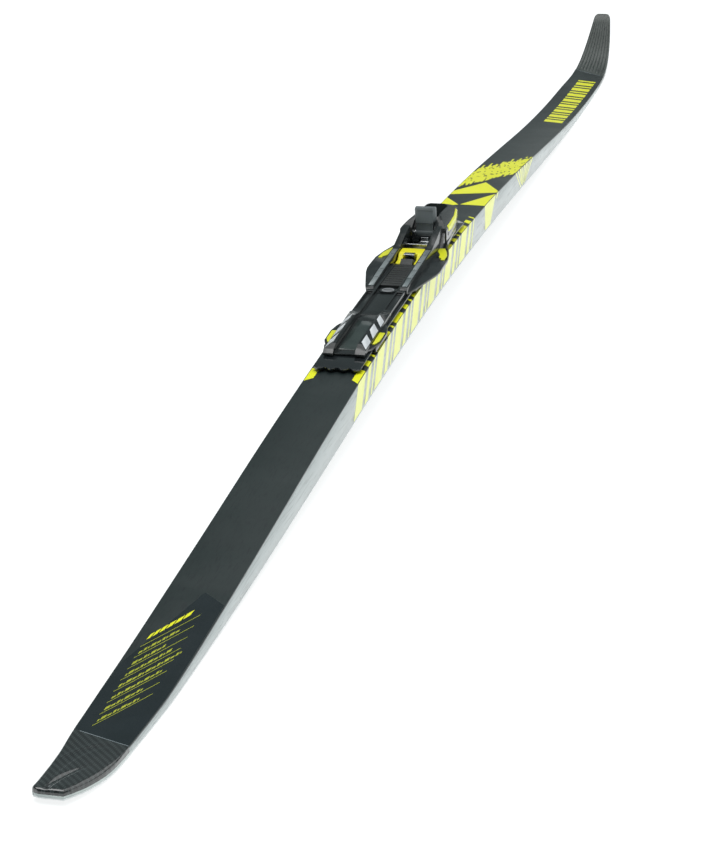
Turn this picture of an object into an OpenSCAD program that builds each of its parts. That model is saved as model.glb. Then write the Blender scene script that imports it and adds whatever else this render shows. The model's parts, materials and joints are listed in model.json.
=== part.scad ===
// Cross-country racing ski with its step-in toe binding.
// A station s is a distance along the ski from the tail end, in millimetres.
// On the binding, d is a distance ahead of the toe bar and h a height above the top of the ski.
// +X is the skier's right, +Y is towards the tip and +Z is up. The origin is on the floor at mid-length.

/* [Ski] */
// Length of the ski along the floor, tail to tip
ski_length = 1910; // [1900:1:1920]
// Height of the unloaded running base above the floor at its highest point
camber = 22; // [12:1:28]
// Height that the tip turns up
tip_rise = 55; // [35:1:60]
// Thickness of the sintered running base
base_t = 1.2; // [1.0:0.1:1.6]
// Thickness of each fibre laminate
laminate_t = 0.6; // [0.4:0.1:0.8]
// Thickness of the topsheet
topsheet_t = 1.0; // [0.8:0.1:1.4]
// Thickness of each sidewall
sidewall_t = 2.2; // [1.5:0.1:3.0]
// Width of the groove in the running base
groove_w = 3; // [2:0.5:4]

/* [Binding] */
// Station of the toe bar, at the balance point
toe_s = 832; // [824:4:840]
// Height of the rail plate on the ski
plate_h = 3.6; // [3.4:0.1:3.8]
// Gap between the plate and the binding that slides on it
slide_gap = 0.5; // [0.45:0.05:0.55]
// Half the width of the channel between the guide rails
channel_w = 11.2; // [11.1:0.1:11.4]
// Half the width over the guide rails
rail_w = 17.2; // [16.9:0.1:17.4]
// Half the width of the front wings
wing_w = 31.5; // [30:0.5:33]

/* [Mechanism] */
// Radius of the boot's toe bar
bar_r = 2.0; // [1.9:0.05:2.1]
// Height of the toe bar above the ski
bar_h = 9.2; // [9.1:0.1:9.4]
// Distance of the lever's pin ahead of the toe bar
pin_d = 66; // [65.5:0.5:66.5]
// Height of the lever's pin above the ski
pin_h = 14; // [13.8:0.1:14.2]
// Radius of the lever's pin
pin_r = 1.5; // [1.4:0.05:1.6]
// Running clearance on the pin
pin_gap = 0.05; // [0.02:0.01:0.08]
// Half the width of the lever
lever_w = 7.5; // [7:0.1:7.8]
// Height of the lever's tip above the ski
lever_h = 36; // [34:0.5:37]
// Radius of the quarter-turn lock
lock_r = 5.2; // [5:0.1:5.3]

/* [Hidden] */
$fn = 48;

// Stations that shape the ski
contact_rear = 100;
contact_front = 1680;
tip_start = 1750;
tip_seam = 1802;
tip_slant = 0.66;
tip_power = 3;
tail_seam = 66;
tail_slant = 0.36;
tail_left_r = 5;
tip_corner_r = 5;
// Right side of the tail: a long slight taper, then a round corner with its length, width and power
slight_l = 125;
slight_w = 3.6;
taper_l = 50;
taper_w = 13.2;
taper_power = 2.6;
// The tail end turns up a little
tail_lift_l = 62;
tail_rise = 3;
knot = 20;
fine_knot = 5;
// Thickness of the ski by station
thickness = [[0, 6], [110, 7], [290, 15.5], [460, 23], [640, 27], [800, 28], [1000, 26.5],
    [1200, 22.5], [1340, 17.8], [1500, 11.2], [1640, 7], [1760, 5.2], [1920, 4]];
// Half-width of the ski by station
half_width = [[0, 18.3], [60, 19.8], [130, 21.2], [400, 21.6], [850, 21.2], [1400, 21.7],
    [1640, 21.6], [1740, 21], [1810, 18.8], [1855, 16.2], [1885, 13.2], [1900, 11], [1920, 8]];

plate_foot_h = 2.2;
plate_w = 18.5;
plate_foot_w = 15.5;
plate_rear = -243;
plate_front = 156;
sole_h = plate_h + slide_gap;
floor_h = 5;
chassis_rear = -79;
heel_rear = -219;
heel_front = -132;
nose_start = 58;
nose_end = 153;
lock_d = -73;
screw_d = [-196, -118, 20, 122];
screw_r = 2;
press_gap = 0.02;

// Cubic curve through a table of [station, value] pairs
function slope(t, i) = i <= 0 || i >= len(t) - 1 ? 0 : (t[i + 1].y - t[i - 1].y) / (t[i + 1].x - t[i - 1].x);
function segment(t, s, i = 0) = i >= len(t) - 2 || s <= t[i + 1].x ? i : segment(t, s, i + 1);
function curve(t, s) = let(i = segment(t, s), w = t[i + 1].x - t[i].x, u = (s - t[i].x) / w)
    t[i].y * (2 * u ^ 3 - 3 * u ^ 2 + 1) + t[i + 1].y * (3 * u ^ 2 - 2 * u ^ 3)
    + w * (slope(t, i) * (u ^ 3 - 2 * u ^ 2 + u) + slope(t, i + 1) * (u ^ 3 - u ^ 2));

// Height of the running base: camber between the contact zones, and the turned-up tip
function arch(s) = s < contact_rear || s > contact_front ? 0
    : camber * (1 - cos(360 * (s - contact_rear) / (contact_front - contact_rear))) / 2;
function tip_lift(s) = s < tip_start ? 0 : tip_rise * ((s - tip_start) / (ski_length - tip_start)) ^ tip_power;
function tail_lift(s) = s > tail_lift_l ? 0 : tail_rise * (1 - s / tail_lift_l) ^ 2;
function base_z(s) = arch(s) + tip_lift(s) + tail_lift(s);
function exact_top(s) = base_z(s) + curve(thickness, s);
function top_z(s) = let(k = floor((s - toe_s) / knot), a = toe_s + k * knot)
    s > tip_start - knot ? exact_top(s) : exact_top(a) + (exact_top(a + knot) - exact_top(a)) * (s - a) / knot;

// Stations from a to b, with every knot of the ski between them
function knots(a, b) = concat([a],
    [for (k = [ceil((a + 0.01 - toe_s) / knot) : floor((b - 0.01 - toe_s) / knot)])
        if (toe_s + k * knot < tip_start) toe_s + k * knot],
    [for (s = [tip_start : fine_knot : ski_length]) if (s > a + 0.01 && s < b - 0.01) s], [b]);

// Side view of a layer between two heights, as wide as the ski
module layer(low, high) {
    run = knots(0, ski_length);
    outline = concat([for (s = run) [s, low(s)]], [for (i = [len(run) - 1 : -1 : 0]) [run[i], high(run[i])]]);
    translate([-40, 0, 0]) rotate([90, 0, 90]) linear_extrude(80) polygon(outline);
}

// Plan view of the ski, set in from its edge, from station a to station b
function corner(r, t) = t >= r ? 0 : r - sqrt(r ^ 2 - (r - t) ^ 2);
function taper(s) = max(0, slight_w * (1 - s / slight_l))
    + (s > taper_l ? 0 : taper_w * (1 - s / taper_l) ^ taper_power);
function edge_x(s, side) = curve(half_width, s)
    - (side < 0 ? corner(tail_left_r, s) : taper(s)) - corner(tip_corner_r, ski_length - s);
function plan_run(a, b) = concat([for (s = [a : 1.5 : min(b, 14)]) s],
    [for (s = [17 : 6 : 89]) if (s > a + 1 && s < b - 1) s],
    [for (s = [100 : 20 : tip_start]) if (s > a + 1 && s < b - 1) s],
    [for (s = [tip_start + 10 : 10 : ski_length - 8]) if (s > a + 1 && s < b - 1) s],
    b < ski_length ? [b] : [for (t = [6, 4, 2.5, 1.2, 0.4, 0]) ski_length - t]);
module plan(a, b, inset = 0) {
    run = plan_run(a, b);
    right = [for (s = run) [max(edge_x(s, 1) - inset, 1), s]];
    left = [for (i = [len(run) - 1 : -1 : 0]) [-max(edge_x(run[i], -1) - inset, 1), run[i]]];
    translate([0, 0, -5]) linear_extrude(130) polygon(concat(right, left));
}
// Everything ahead of the slanted tail seam and behind the tip seam
module mid_plan(inset = 0) {
    intersection() {
        plan(20, tip_seam + 40, inset);
        translate([0, 0, -5]) linear_extrude(130)
            polygon([[-40, seam_s(-40)], [40, seam_s(40)], [40, tip_s(40)], [-40, tip_s(-40)]]);
    }
}
module tail_plan(inset = 0) {
    intersection() {
        plan(inset, 120, inset);
        translate([0, 0, -5]) linear_extrude(130)
            polygon([[-40, -5], [40, -5], [40, seam_s(40)], [-40, seam_s(-40)]]);
    }
}
function seam_s(x) = tail_seam - tail_slant * x;
function tip_s(x) = tip_seam - tip_slant * x;

module placed() translate([0, -ski_length / 2, 0]) children();
module both_sides() {
    children();
    mirror([1, 0, 0]) children();
}

// Side outline of a binding piece: points [d, h], bent to follow the top of the ski
function steps(a, b) = let(lo = min(a, b), hi = max(a, b),
        mids = [for (k = [ceil((lo + 0.01) / knot) : floor((hi - 0.01) / knot)]) k * knot])
    a <= b ? mids : [for (i = [len(mids) - 1 : -1 : 0]) mids[i]];
function bent(pts) = [for (i = [0 : len(pts) - 1]) let(a = pts[i], b = pts[(i + 1) % len(pts)])
    for (p = concat([a], [for (m = steps(a.x, b.x)) [m, a.y + (b.y - a.y) * (m - a.x) / (b.x - a.x)]]))
        [toe_s + p.x, top_z(toe_s + p.x) + p.y]];
module side_cut(x0, x1, pts) translate([x0, 0, 0]) rotate([90, 0, 90])
    linear_extrude(x1 - x0) polygon(bent(pts));
module bar(x0, x1, d0, d1, h0, h1) side_cut(x0, x1, [[d0, h0], [d1, h0], [d1, h1], [d0, h1]]);
module plan_cut(pts) translate([0, toe_s, 0]) linear_extrude(110) polygon(pts);
module across(d, h, r, x0, x1) translate([x0, toe_s + d, top_z(toe_s + d) + h]) rotate([0, 90, 0])
    cylinder(r = r, h = x1 - x0);
function mirrored(pts) = concat(pts, [for (i = [len(pts) - 1 : -1 : 0]) [-pts[i].x, pts[i].y]]);

// ---- ski ----
module screw_holes(gap) {
    for (d = screw_d) translate([0, toe_s + d, top_z(toe_s + d)]) {
        translate([0, 0, -13]) cylinder(r = screw_r + gap, h = 16);
        translate([0, 0, 0.2]) cylinder(r1 = screw_r + gap, r2 = 3.6 + gap, h = 1.8);
        translate([0, 0, 2]) cylinder(r = 3.6 + gap, h = 1.2 + 20 * gap);
    }
}
module running_base() color("#15171a") placed() difference() {
    intersection() {
        plan(0, ski_length);
        layer(function(s) base_z(s), function(s) base_z(s) + base_t);
    }
    intersection() {
        translate([-groove_w / 2, 120, -5]) cube([groove_w, 1540, 60]);
        layer(function(s) base_z(s) - 1, function(s) base_z(s) + base_t / 2);
    }
}
module lower_laminate() color("#2a2c2e") placed() intersection() {
    mid_plan(sidewall_t);
    layer(function(s) base_z(s) + base_t, function(s) base_z(s) + base_t + laminate_t);
}
module core() color("#c9b48a") placed() difference() {
    intersection() {
        mid_plan(sidewall_t);
        layer(function(s) base_z(s) + base_t + laminate_t, function(s) top_z(s) - topsheet_t - laminate_t);
    }
    screw_holes(press_gap);
}
module upper_laminate() color("#232527") placed() difference() {
    intersection() {
        mid_plan(sidewall_t);
        layer(function(s) top_z(s) - topsheet_t - laminate_t, function(s) top_z(s) - topsheet_t);
    }
    screw_holes(press_gap);
}
module topsheet() color("#23272a") placed() difference() {
    intersection() {
        mid_plan();
        layer(function(s) top_z(s) - topsheet_t, function(s) top_z(s));
    }
    screw_holes(press_gap);
}
module sidewall(side) placed() intersection() {
    difference() {
        mid_plan();
        plan(20, tip_seam + 50, sidewall_t);
    }
    layer(function(s) base_z(s) + base_t, function(s) top_z(s) - topsheet_t);
    translate([side < 0 ? -40 : 0, 0, -5]) cube([40, ski_length, 130]);
}
module left_sidewall() color("#c3c8cb") sidewall(-1);
module right_sidewall() color("#c3c8cb") sidewall(1);
module tail_block() color("#1f2123") placed() intersection() {
    tail_plan(1.2);
    layer(function(s) base_z(s) + base_t, function(s) top_z(s) - 0.8);
}
module tail_guard() color("#6c7478") placed() intersection() {
    tail_plan();
    difference() {
        layer(function(s) base_z(s) + base_t, function(s) top_z(s));
        intersection() {
            tail_plan(1.2);
            layer(function(s) base_z(s) - 1, function(s) top_z(s) - 0.8);
        }
    }
}
module tip_cap() color("#33383a") placed() {
    intersection() {
        translate([0, 0, -5]) linear_extrude(130)
            polygon([[-40, tip_s(-40)], [40, tip_s(40)], [40, ski_length + 9], [-40, ski_length + 9]]);
        plan(tip_start, ski_length);
        layer(function(s) base_z(s) + base_t, function(s) top_z(s));
    }
    for (x = [-6, 0, 6]) intersection() {
        translate([x - 0.7, tip_seam + 18, -5]) cube([1.4, 66, 130]);
        layer(function(s) top_z(s) - 0.2, function(s) top_z(s) + 0.6);
    }
}

// ---- rail plate ----
module rail_plate() color("#101214") placed() difference() {
    union() {
        bar(-plate_foot_w, plate_foot_w, plate_rear + 8, plate_front - 14, 0, plate_foot_h);
        intersection() {
            plan_cut(concat(
                [for (x = [-plate_w : 1.25 : plate_w - 0.1]) [x, plate_rear + 1.8 * (1 + cos(x * 38))]],
                [[plate_w, plate_rear + 3], [plate_w, plate_front - 15], [8, plate_front - 3],
                 [3, plate_front], [-3, plate_front], [-8, plate_front - 3], [-plate_w, plate_front - 15]]));
            bar(-plate_w, plate_w, plate_rear - 1, plate_front, plate_foot_h, plate_h);
        }
    }
    bar(-7, 7, lock_d - 17.5, lock_d + 17.5, plate_foot_h, plate_h + 1);
    screw_holes(press_gap);
}
module plate_screws() color("#9aa0a4") placed() for (d = screw_d) translate([0, toe_s + d, top_z(toe_s + d)])
    difference() {
        union() {
            translate([0, 0, -12.5]) cylinder(r = screw_r, h = 12.9);
            translate([0, 0, 0.2]) cylinder(r1 = screw_r, r2 = 3.6, h = 1.8);
            translate([0, 0, 2]) cylinder(r = 3.6, h = 1.2);
        }
        for (a = [0, 90]) rotate([0, 0, a]) translate([-2.2, -0.5, 2.2]) cube([4.4, 1, 2]);
    }

// ---- front of the binding ----
// Hooks that run under the flange of the rail plate
module hooks(d0, d1) both_sides() {
    bar(plate_w + 0.4, plate_w + 2.2, d0, d1, 0.8, sole_h + 0.5);
    bar(plate_foot_w + 0.6, plate_w + 2.2, d0, d1, 0.8, plate_foot_h - slide_gap);
}
chassis_plan = mirrored([[14, -79], [18, -75], [21.5, -64], [30, -28], [wing_w, -18], [wing_w, 12], [28.8, 30],
    [25, 46], [21.4, 58], [20, 80], [18.6, 105], [15.5, 128], [10.5, 145], [4.5, nose_end]]);
insert_plan = [[rail_w + 0.3, 36], [rail_w + 0.3, 43.5], [22.5, 44], [26, 34], [28.4, 24], [28.8, 11],
    [25.6, 11], [25, 15.5], [22.6, 18], [21.6, 26]];
rail_side = [[-79, 4.6], [-79, 8.4], [-76, 9.8], [-40, 11.6], [15, 13.6], [24, 15.6], [45, 20.5], [58, 22.6],
    [58, 4.6]];
facing_x = [12.1, 16.3];
facing_d = [-74, -40, 14];
function rail_line(d) = d < facing_d[1] ? 9.8 + 1.8 * (d + 76) / 36 : 11.6 + 2 * (d + 40) / 55;
module facing_solid(lift) side_cut(facing_x[0], facing_x[1], concat(
    [for (d = facing_d) [d, rail_line(d) - 0.8]],
    [for (i = [2 : -1 : 0]) [facing_d[i], rail_line(facing_d[i]) + lift]]));
module insert_solid(lift) intersection() {
    plan_cut(insert_plan);
    bar(0, 40, 0, 50, 6.4 - 0.8, 6.4 + lift);
}
module front_chassis() color("#131517") placed() difference() {
    union() {
        intersection() {
            plan_cut(chassis_plan);
            side_cut(-40, 40, [[-79, sole_h], [-79, 5.6], [-24, 5.6], [-8, 6.4], [46, 6.4], [58, 8], [100, 8],
                [125, 6.5], [nose_end, 4.9], [nose_end, sole_h]]);
        }
        both_sides() side_cut(channel_w, rail_w, rail_side);
        both_sides() bar(8.6, channel_w + 0.5, -79, -9, 4.6, 8.2);
        both_sides() side_cut(rail_w - 1, 19.6, [[44, 5], [58, 5], [58, 16.5]]);
        hooks(-62, 62);
        intersection() {
            translate([0, toe_s + lock_d, top_z(toe_s + lock_d) + sole_h]) cylinder(r = lock_r + 2.2, h = 2.2);
            bar(-10, 10, chassis_rear, 0, 0, 20);
        }
    }
    bar(-8.6, 8.6, -100, -62, floor_h + 1.3, 20);
    bar(-8.6, 8.6, lock_d + 8.2, 1, floor_h, 20);
    bar(-channel_w, channel_w, -8.9, 59, floor_h, 30);
    bar(-5.2, 5.2, 50, 70.5, floor_h, 12);
    translate([0, toe_s + lock_d, 0]) cylinder(r = lock_r + 0.08, h = 90);
    both_sides() insert_solid(10);
    both_sides() facing_solid(10);
}
module rail_facing(side) placed() mirror([side < 0 ? 1 : 0, 0, 0]) difference() {
    facing_solid(0.3);
    for (d = [-56, -37, -18, 1]) bar(facing_x[0] - 1, facing_x[0] + 3.2, d, d + 1.4, 5, 30);
}
module left_rail_facing() color("#9ba3a6") rail_facing(-1);
module right_rail_facing() color("#9ba3a6") rail_facing(1);
module deck_pad() color("#1b1d1e") placed() difference() {
    bar(-8.6, 8.6, lock_d + 8.2, -9, floor_h, 7.4);
    for (k = [0 : 8]) bar(-7.4, 7.4, -60 + 5.6 * k, -58.6 + 5.6 * k, 6.9, 9);
}
module toe_block() color("#2c2f31") placed() difference() {
    side_cut(-5.2, 5.2, [[-8.9, floor_h], [1.9, floor_h], [1.9, bar_h], [-2.3, bar_h], [-2.3, 10.2],
        [-3.5, 10.8], [-7.4, 8.6], [-8.9, 7.4]]);
    across(0, bar_h, bar_r + 0.15, -8, 8);
}
module flexor() color("#e4e812") placed() {
    side_cut(-channel_w + 0.4, channel_w - 0.4,
        [[9.4, 7.3], [9.4, 10.8], [12, 12], [23.5, 12], [27, 9.6], [27, 7.3]]);
    both_sides() side_cut(5.7, channel_w - 0.9, [[-6, floor_h], [-6, 6.2], [-3.6, 7.1], [3.6, 7.1], [9.5, 10.6],
        [14, 10.6], [14, floor_h]]);
}
module keeper_plate() color("#8d9497") placed() {
    bar(-channel_w, channel_w, 38, 40, 7.3, 11.4);
    both_sides() bar(6.2, channel_w, 38, 40, floor_h, 7.3);
}
module wing_insert(side) placed() mirror([side < 0 ? 1 : 0, 0, 0]) insert_solid(0.5);
module left_wing_insert() color("#e4e812") wing_insert(-1);
module right_wing_insert() color("#e4e812") wing_insert(1);

// ---- nose ----
function nose_plan(inset) = mirrored([[20.6 - inset, nose_start], [20 - inset, 80], [18.6 - inset, 105],
    [15.5 - inset, 128], [10.5 - inset, 145], [4.5 - inset / 2, nose_end - inset]]);
nose_top = [[58, 20.5], [66, 24], [80, 27.5], [98, 29.4], [112, 28.6], [124, 24.4], [137, 16.4],
    [148, 8], [nose_end, 4.9]];
// The dome narrows towards the front: radii 40 mm and 180 mm ahead of the toe bar
dome_rear_r = 24.6;
dome_front_r = 17;
dome_h = 7.5;
module dome(lift) translate([0, toe_s + 40, top_z(toe_s + 100) + dome_h]) rotate([-90, 0, 0])
    cylinder(r1 = dome_rear_r + lift, r2 = dome_front_r + lift, h = 140, $fn = 96);
module nose_solid(lift = 0) intersection() {
    side_cut(-40, 40, concat([[nose_end, 4.9], [125, 6.5], [100, 8], [nose_start, 8]],
        [for (p = nose_top) [p.x, p.y + lift]]));
    dome(lift);
}
module lever_well() {
    bar(-9.8, 9.8, 50, 104, 8.01, 60);
    side_cut(-9.8, 9.8, [[100, 8.01], [104, 8.01], [112, 16], [118, 40], [100, 40]]);
}
// The side flash fills a step along the top outer edge of the nose
module flash_ring(inner, outer) intersection() {
    translate([0, toe_s, 0]) linear_extrude(110) difference() {
        polygon(nose_plan(outer));
        polygon(nose_plan(inner));
    }
    side_cut(-40, 40, [[70, 40], [68, 15.5], [84, 13.6], [104, 14.6], [124, 15], [122, 40]]);
}
module nose_cover() color("#17191b") placed() difference() {
    intersection() {
        plan_cut(nose_plan(0));
        nose_solid();
    }
    lever_well();
    flash_ring(1.3, -1);
    bar(-5.2, 5.2, 50, 70.5, floor_h, 12);
    across(pin_d, pin_h, pin_r + press_gap, -30, 30);
}
module nose_trim() color("#d8dc20") placed() intersection() {
    nose_solid(0.2);
    flash_ring(1.3, -0.2);
}
module lever_pin() color("#a8adb0") placed() across(pin_d, pin_h, pin_r, -16.5, 16.5);
module detent_springs() color("#b9bdc0") placed() both_sides() for (k = [0 : 1])
    translate([7.95 + 0.9 * k, toe_s + pin_d, top_z(toe_s + pin_d) + pin_h]) rotate([0, 90, 0])
        rotate_extrude() translate([pin_r + 0.45, 0]) circle(r = 0.44, $fn = 24);

// ---- middle and heel ----
ridge_in = 8.6;
ridge_out = 16;
module bridge_strip() color("#131517") placed() difference() {
    union() {
        bar(-ridge_out, ridge_out, heel_front, chassis_rear, sole_h, 5.2);
        both_sides() bar(ridge_in, ridge_out, heel_front, chassis_rear, 5, 8.2);
    }
    both_sides() bar(ridge_in + 1.4, ridge_out - 1.4, heel_front + 6, chassis_rear - 4, 6.4, 9);
}
heel_plan = mirrored([[12.5, heel_rear + 3], [15.5, heel_rear + 8], [18.5, -203], [22.4, -192], [22.6, -172],
    [20.5, -160], [16.4, -150], [ridge_out, heel_front]]);
heel_insert_plan = [[17, -172], [21.4, -172.5], [21.3, -189], [18.8, -196.5], [17, -197]];
// Cross-section points [x, h] carried along the chord of the heel
module along_heel(pts) {
    z0 = top_z(toe_s + heel_rear);
    reach = heel_front - heel_rear;
    translate([0, toe_s + heel_rear, z0]) rotate([atan2(top_z(toe_s + heel_front) - z0, reach), 0, 0])
        rotate([90, 0, 0]) translate([0, 0, -reach - 3]) linear_extrude(reach + 6) polygon(pts);
}
heel_side = [[heel_rear, sole_h + 0.4], [heel_rear, 6.4], [-216, 8.8], [-208, 10.8], [-196, 11.8], [-152, 12],
    [-141, 9.6], [heel_front, 8.2], [heel_front, sole_h + 0.4]];
heel_crest = [10.6, 11.9];
heel_edge = [16.6, 8.6];
module heel_ridge() intersection() {
    side_cut(ridge_in, heel_edge.x, heel_side);
    along_heel([[ridge_in - 1, 2], [ridge_in - 1, 9.9], [heel_crest.x - 0.8, heel_crest.y], heel_crest,
        heel_edge, [heel_edge.x + 1, 2]]);
}
// Slanted marks set into the sloping outer face of each ridge: inner and outer edge, rear and front
mark_edges = [[-157, -147, -166, -154], [-180, -166, -191, -174], [-206, -190, -214, -198]];
mark_in = 11.1;
mark_out = 16.2;
function mark_h(x) = heel_crest.y
    + (heel_edge.y - heel_crest.y) * (x - heel_crest.x) / (heel_edge.x - heel_crest.x);
module mark(e, lift) intersection() {
    plan_cut([[mark_in, e[0]], [mark_in, e[1]], [mark_out, e[3]], [mark_out, e[2]]]);
    along_heel([[mark_in - 1, mark_h(mark_in - 1) - 0.7], [mark_out + 1, mark_h(mark_out + 1) - 0.7],
        [mark_out + 1, mark_h(mark_out + 1) + lift], [mark_in - 1, mark_h(mark_in - 1) + lift]]);
}
module heel_block() color("#131517") placed() difference() {
    union() {
        intersection() {
            plan_cut(heel_plan);
            side_cut(-40, 40, [[heel_rear, sole_h], [heel_rear, 4.9], [-212, 6], [-150, 6.4], [heel_front, 5.2],
                [heel_front, sole_h]]);
        }
        both_sides() heel_ridge();
        hooks(-200, -162);
    }
    both_sides() for (e = mark_edges) mark(e, 3);
    both_sides() heel_insert_solid(8);
    bar(-ridge_in, ridge_in, heel_rear - 5, heel_front + 5, 5.2, 20);
    bar(-7.2, 7.2, -208, -146, 4.8, 6);
}
module heel_insert_solid(lift) intersection() {
    plan_cut(heel_insert_plan);
    bar(0, 40, -210, -160, 5.4, 6.2 + lift);
}
module heel_insert(side) placed() mirror([side < 0 ? 1 : 0, 0, 0]) heel_insert_solid(0.6);
module left_heel_insert() color("#e4e812") heel_insert(-1);
module right_heel_insert() color("#e4e812") heel_insert(1);
module heel_marks() color("#d9dde0") placed() both_sides() for (e = mark_edges) mark(e, 0.15);
module heel_label() color("#2b3431") placed() bar(-7.2, 7.2, -208, -146, 4.8, 5.6);

// ---- moving pieces ----
module lever() color("#6d7679") placed() difference() {
    union() {
        side_cut(-lever_w, lever_w, [[63.4, 15.2], [64.2, 22.4], [63.6, 23.2], [65.4, 34.2], [66.6, 35.6],
            [68.4, lever_h], [70.2, lever_h - 0.4], [71, 34.8], [69.6, 24], [69.2, 15.2], [68, 12.6],
            [64.4, 12.6]]);
        across(pin_d, pin_h, 3.4, -lever_w, lever_w);
        across(pin_d + 1, pin_h - 4.9, 1.5, -3.6, 3.6);
        side_cut(-3.6, 3.6, [[pin_d - 0.5, pin_h - 4.9], [pin_d + 2.5, pin_h - 4.9],
            [pin_d + 2.5, pin_h - 2], [pin_d - 1.2, pin_h - 2]]);
    }
    across(pin_d, pin_h, pin_r + pin_gap, -20, 20);
}
module claw() color("#aab0b3") placed() {
    bar(-4.7, 4.7, 7.1, 8.6, 5.2, 12.8);
    bar(-4.7, 4.7, 2.7, 7.2, 11.4, 12.8);
    bar(-4.7, 4.7, 8.5, 65, 5.2, 6.8);
    bar(-3.4, 3.4, 63, 65, 6.7, 10.3);
}
module lock_cam() color("#8b9194") placed() translate([0, toe_s + lock_d, top_z(toe_s + lock_d)]) difference() {
    union() {
        translate([0, 0, 3.2]) cylinder(r = lock_r, h = 3.1);
        intersection() {
            translate([0, 0, 2.7]) cylinder(r = 6.3, h = 1.0);
            translate([-6.3, -2.4, 2.7]) cube([12.6, 4.8, 1.0]);
        }
    }
    translate([-3.8, -0.9, 5.1]) cube([7.6, 1.8, 3]);
}

running_base();
lower_laminate();
core();
left_sidewall();
right_sidewall();
upper_laminate();
topsheet();
tail_block();
tail_guard();
tip_cap();
rail_plate();
plate_screws();
front_chassis();
left_rail_facing();
right_rail_facing();
deck_pad();
toe_block();
flexor();
keeper_plate();
left_wing_insert();
right_wing_insert();
nose_cover();
nose_trim();
lever_pin();
detent_springs();
bridge_strip();
heel_block();
left_heel_insert();
right_heel_insert();
heel_marks();
heel_label();
lever();
claw();
lock_cam();
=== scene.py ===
"""Looks of a cross-country racing ski with its step-in toe binding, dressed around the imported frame.

Lengths are in metres. A station is a distance ahead of the tail end, and +Y runs from the tail to the tip.
Printed shapes are given in millimetres, as (x, station), and are draped over the ski.
"""

from __future__ import annotations

import json
import logging
import math
from dataclasses import dataclass, field
from enum import Enum
from typing import Callable

import bmesh
import bpy
import numpy as np
from mathutils import Matrix, Vector

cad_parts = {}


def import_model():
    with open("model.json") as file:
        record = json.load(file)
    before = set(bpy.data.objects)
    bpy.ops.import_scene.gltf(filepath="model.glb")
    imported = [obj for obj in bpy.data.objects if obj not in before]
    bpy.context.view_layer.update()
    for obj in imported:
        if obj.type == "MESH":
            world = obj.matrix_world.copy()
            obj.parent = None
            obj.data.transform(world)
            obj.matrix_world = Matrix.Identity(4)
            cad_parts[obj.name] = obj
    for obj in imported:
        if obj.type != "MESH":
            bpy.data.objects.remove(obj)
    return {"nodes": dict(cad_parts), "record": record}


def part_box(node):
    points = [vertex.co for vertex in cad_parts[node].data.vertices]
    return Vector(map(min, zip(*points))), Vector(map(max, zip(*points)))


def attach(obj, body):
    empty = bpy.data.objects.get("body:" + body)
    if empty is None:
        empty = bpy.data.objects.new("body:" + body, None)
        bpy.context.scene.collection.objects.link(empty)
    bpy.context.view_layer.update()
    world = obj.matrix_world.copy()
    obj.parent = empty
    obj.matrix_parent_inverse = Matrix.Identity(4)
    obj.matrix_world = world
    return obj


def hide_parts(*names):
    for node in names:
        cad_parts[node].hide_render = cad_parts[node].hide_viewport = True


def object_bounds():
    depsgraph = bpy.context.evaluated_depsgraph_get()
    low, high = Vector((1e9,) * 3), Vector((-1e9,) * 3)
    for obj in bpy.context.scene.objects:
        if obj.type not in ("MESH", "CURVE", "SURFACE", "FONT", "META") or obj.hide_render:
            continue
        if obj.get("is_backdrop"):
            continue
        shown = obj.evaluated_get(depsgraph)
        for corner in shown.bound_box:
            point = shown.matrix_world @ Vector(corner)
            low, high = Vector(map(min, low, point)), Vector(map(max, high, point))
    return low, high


LOG = logging.getLogger("ski")
MM = 0.001
TIP_SEAM = 1802.0
TIP_SLANT = 0.66
Quad = tuple[tuple[float, float], tuple[float, float], tuple[float, float], tuple[float, float]]


class Side(Enum):
    """The two sides of the ski, by the sign of x."""

    LEFT = -1
    RIGHT = 1


class Body(Enum):
    """The bodies of the frame that pieces ride on."""

    SKI = "ski"
    BINDING = "binding"
    LEVER = "lever"
    CLAW = "claw"
    LOCK = "lock_cam"


# ---------------------------------------------------------------- shader building


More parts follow.
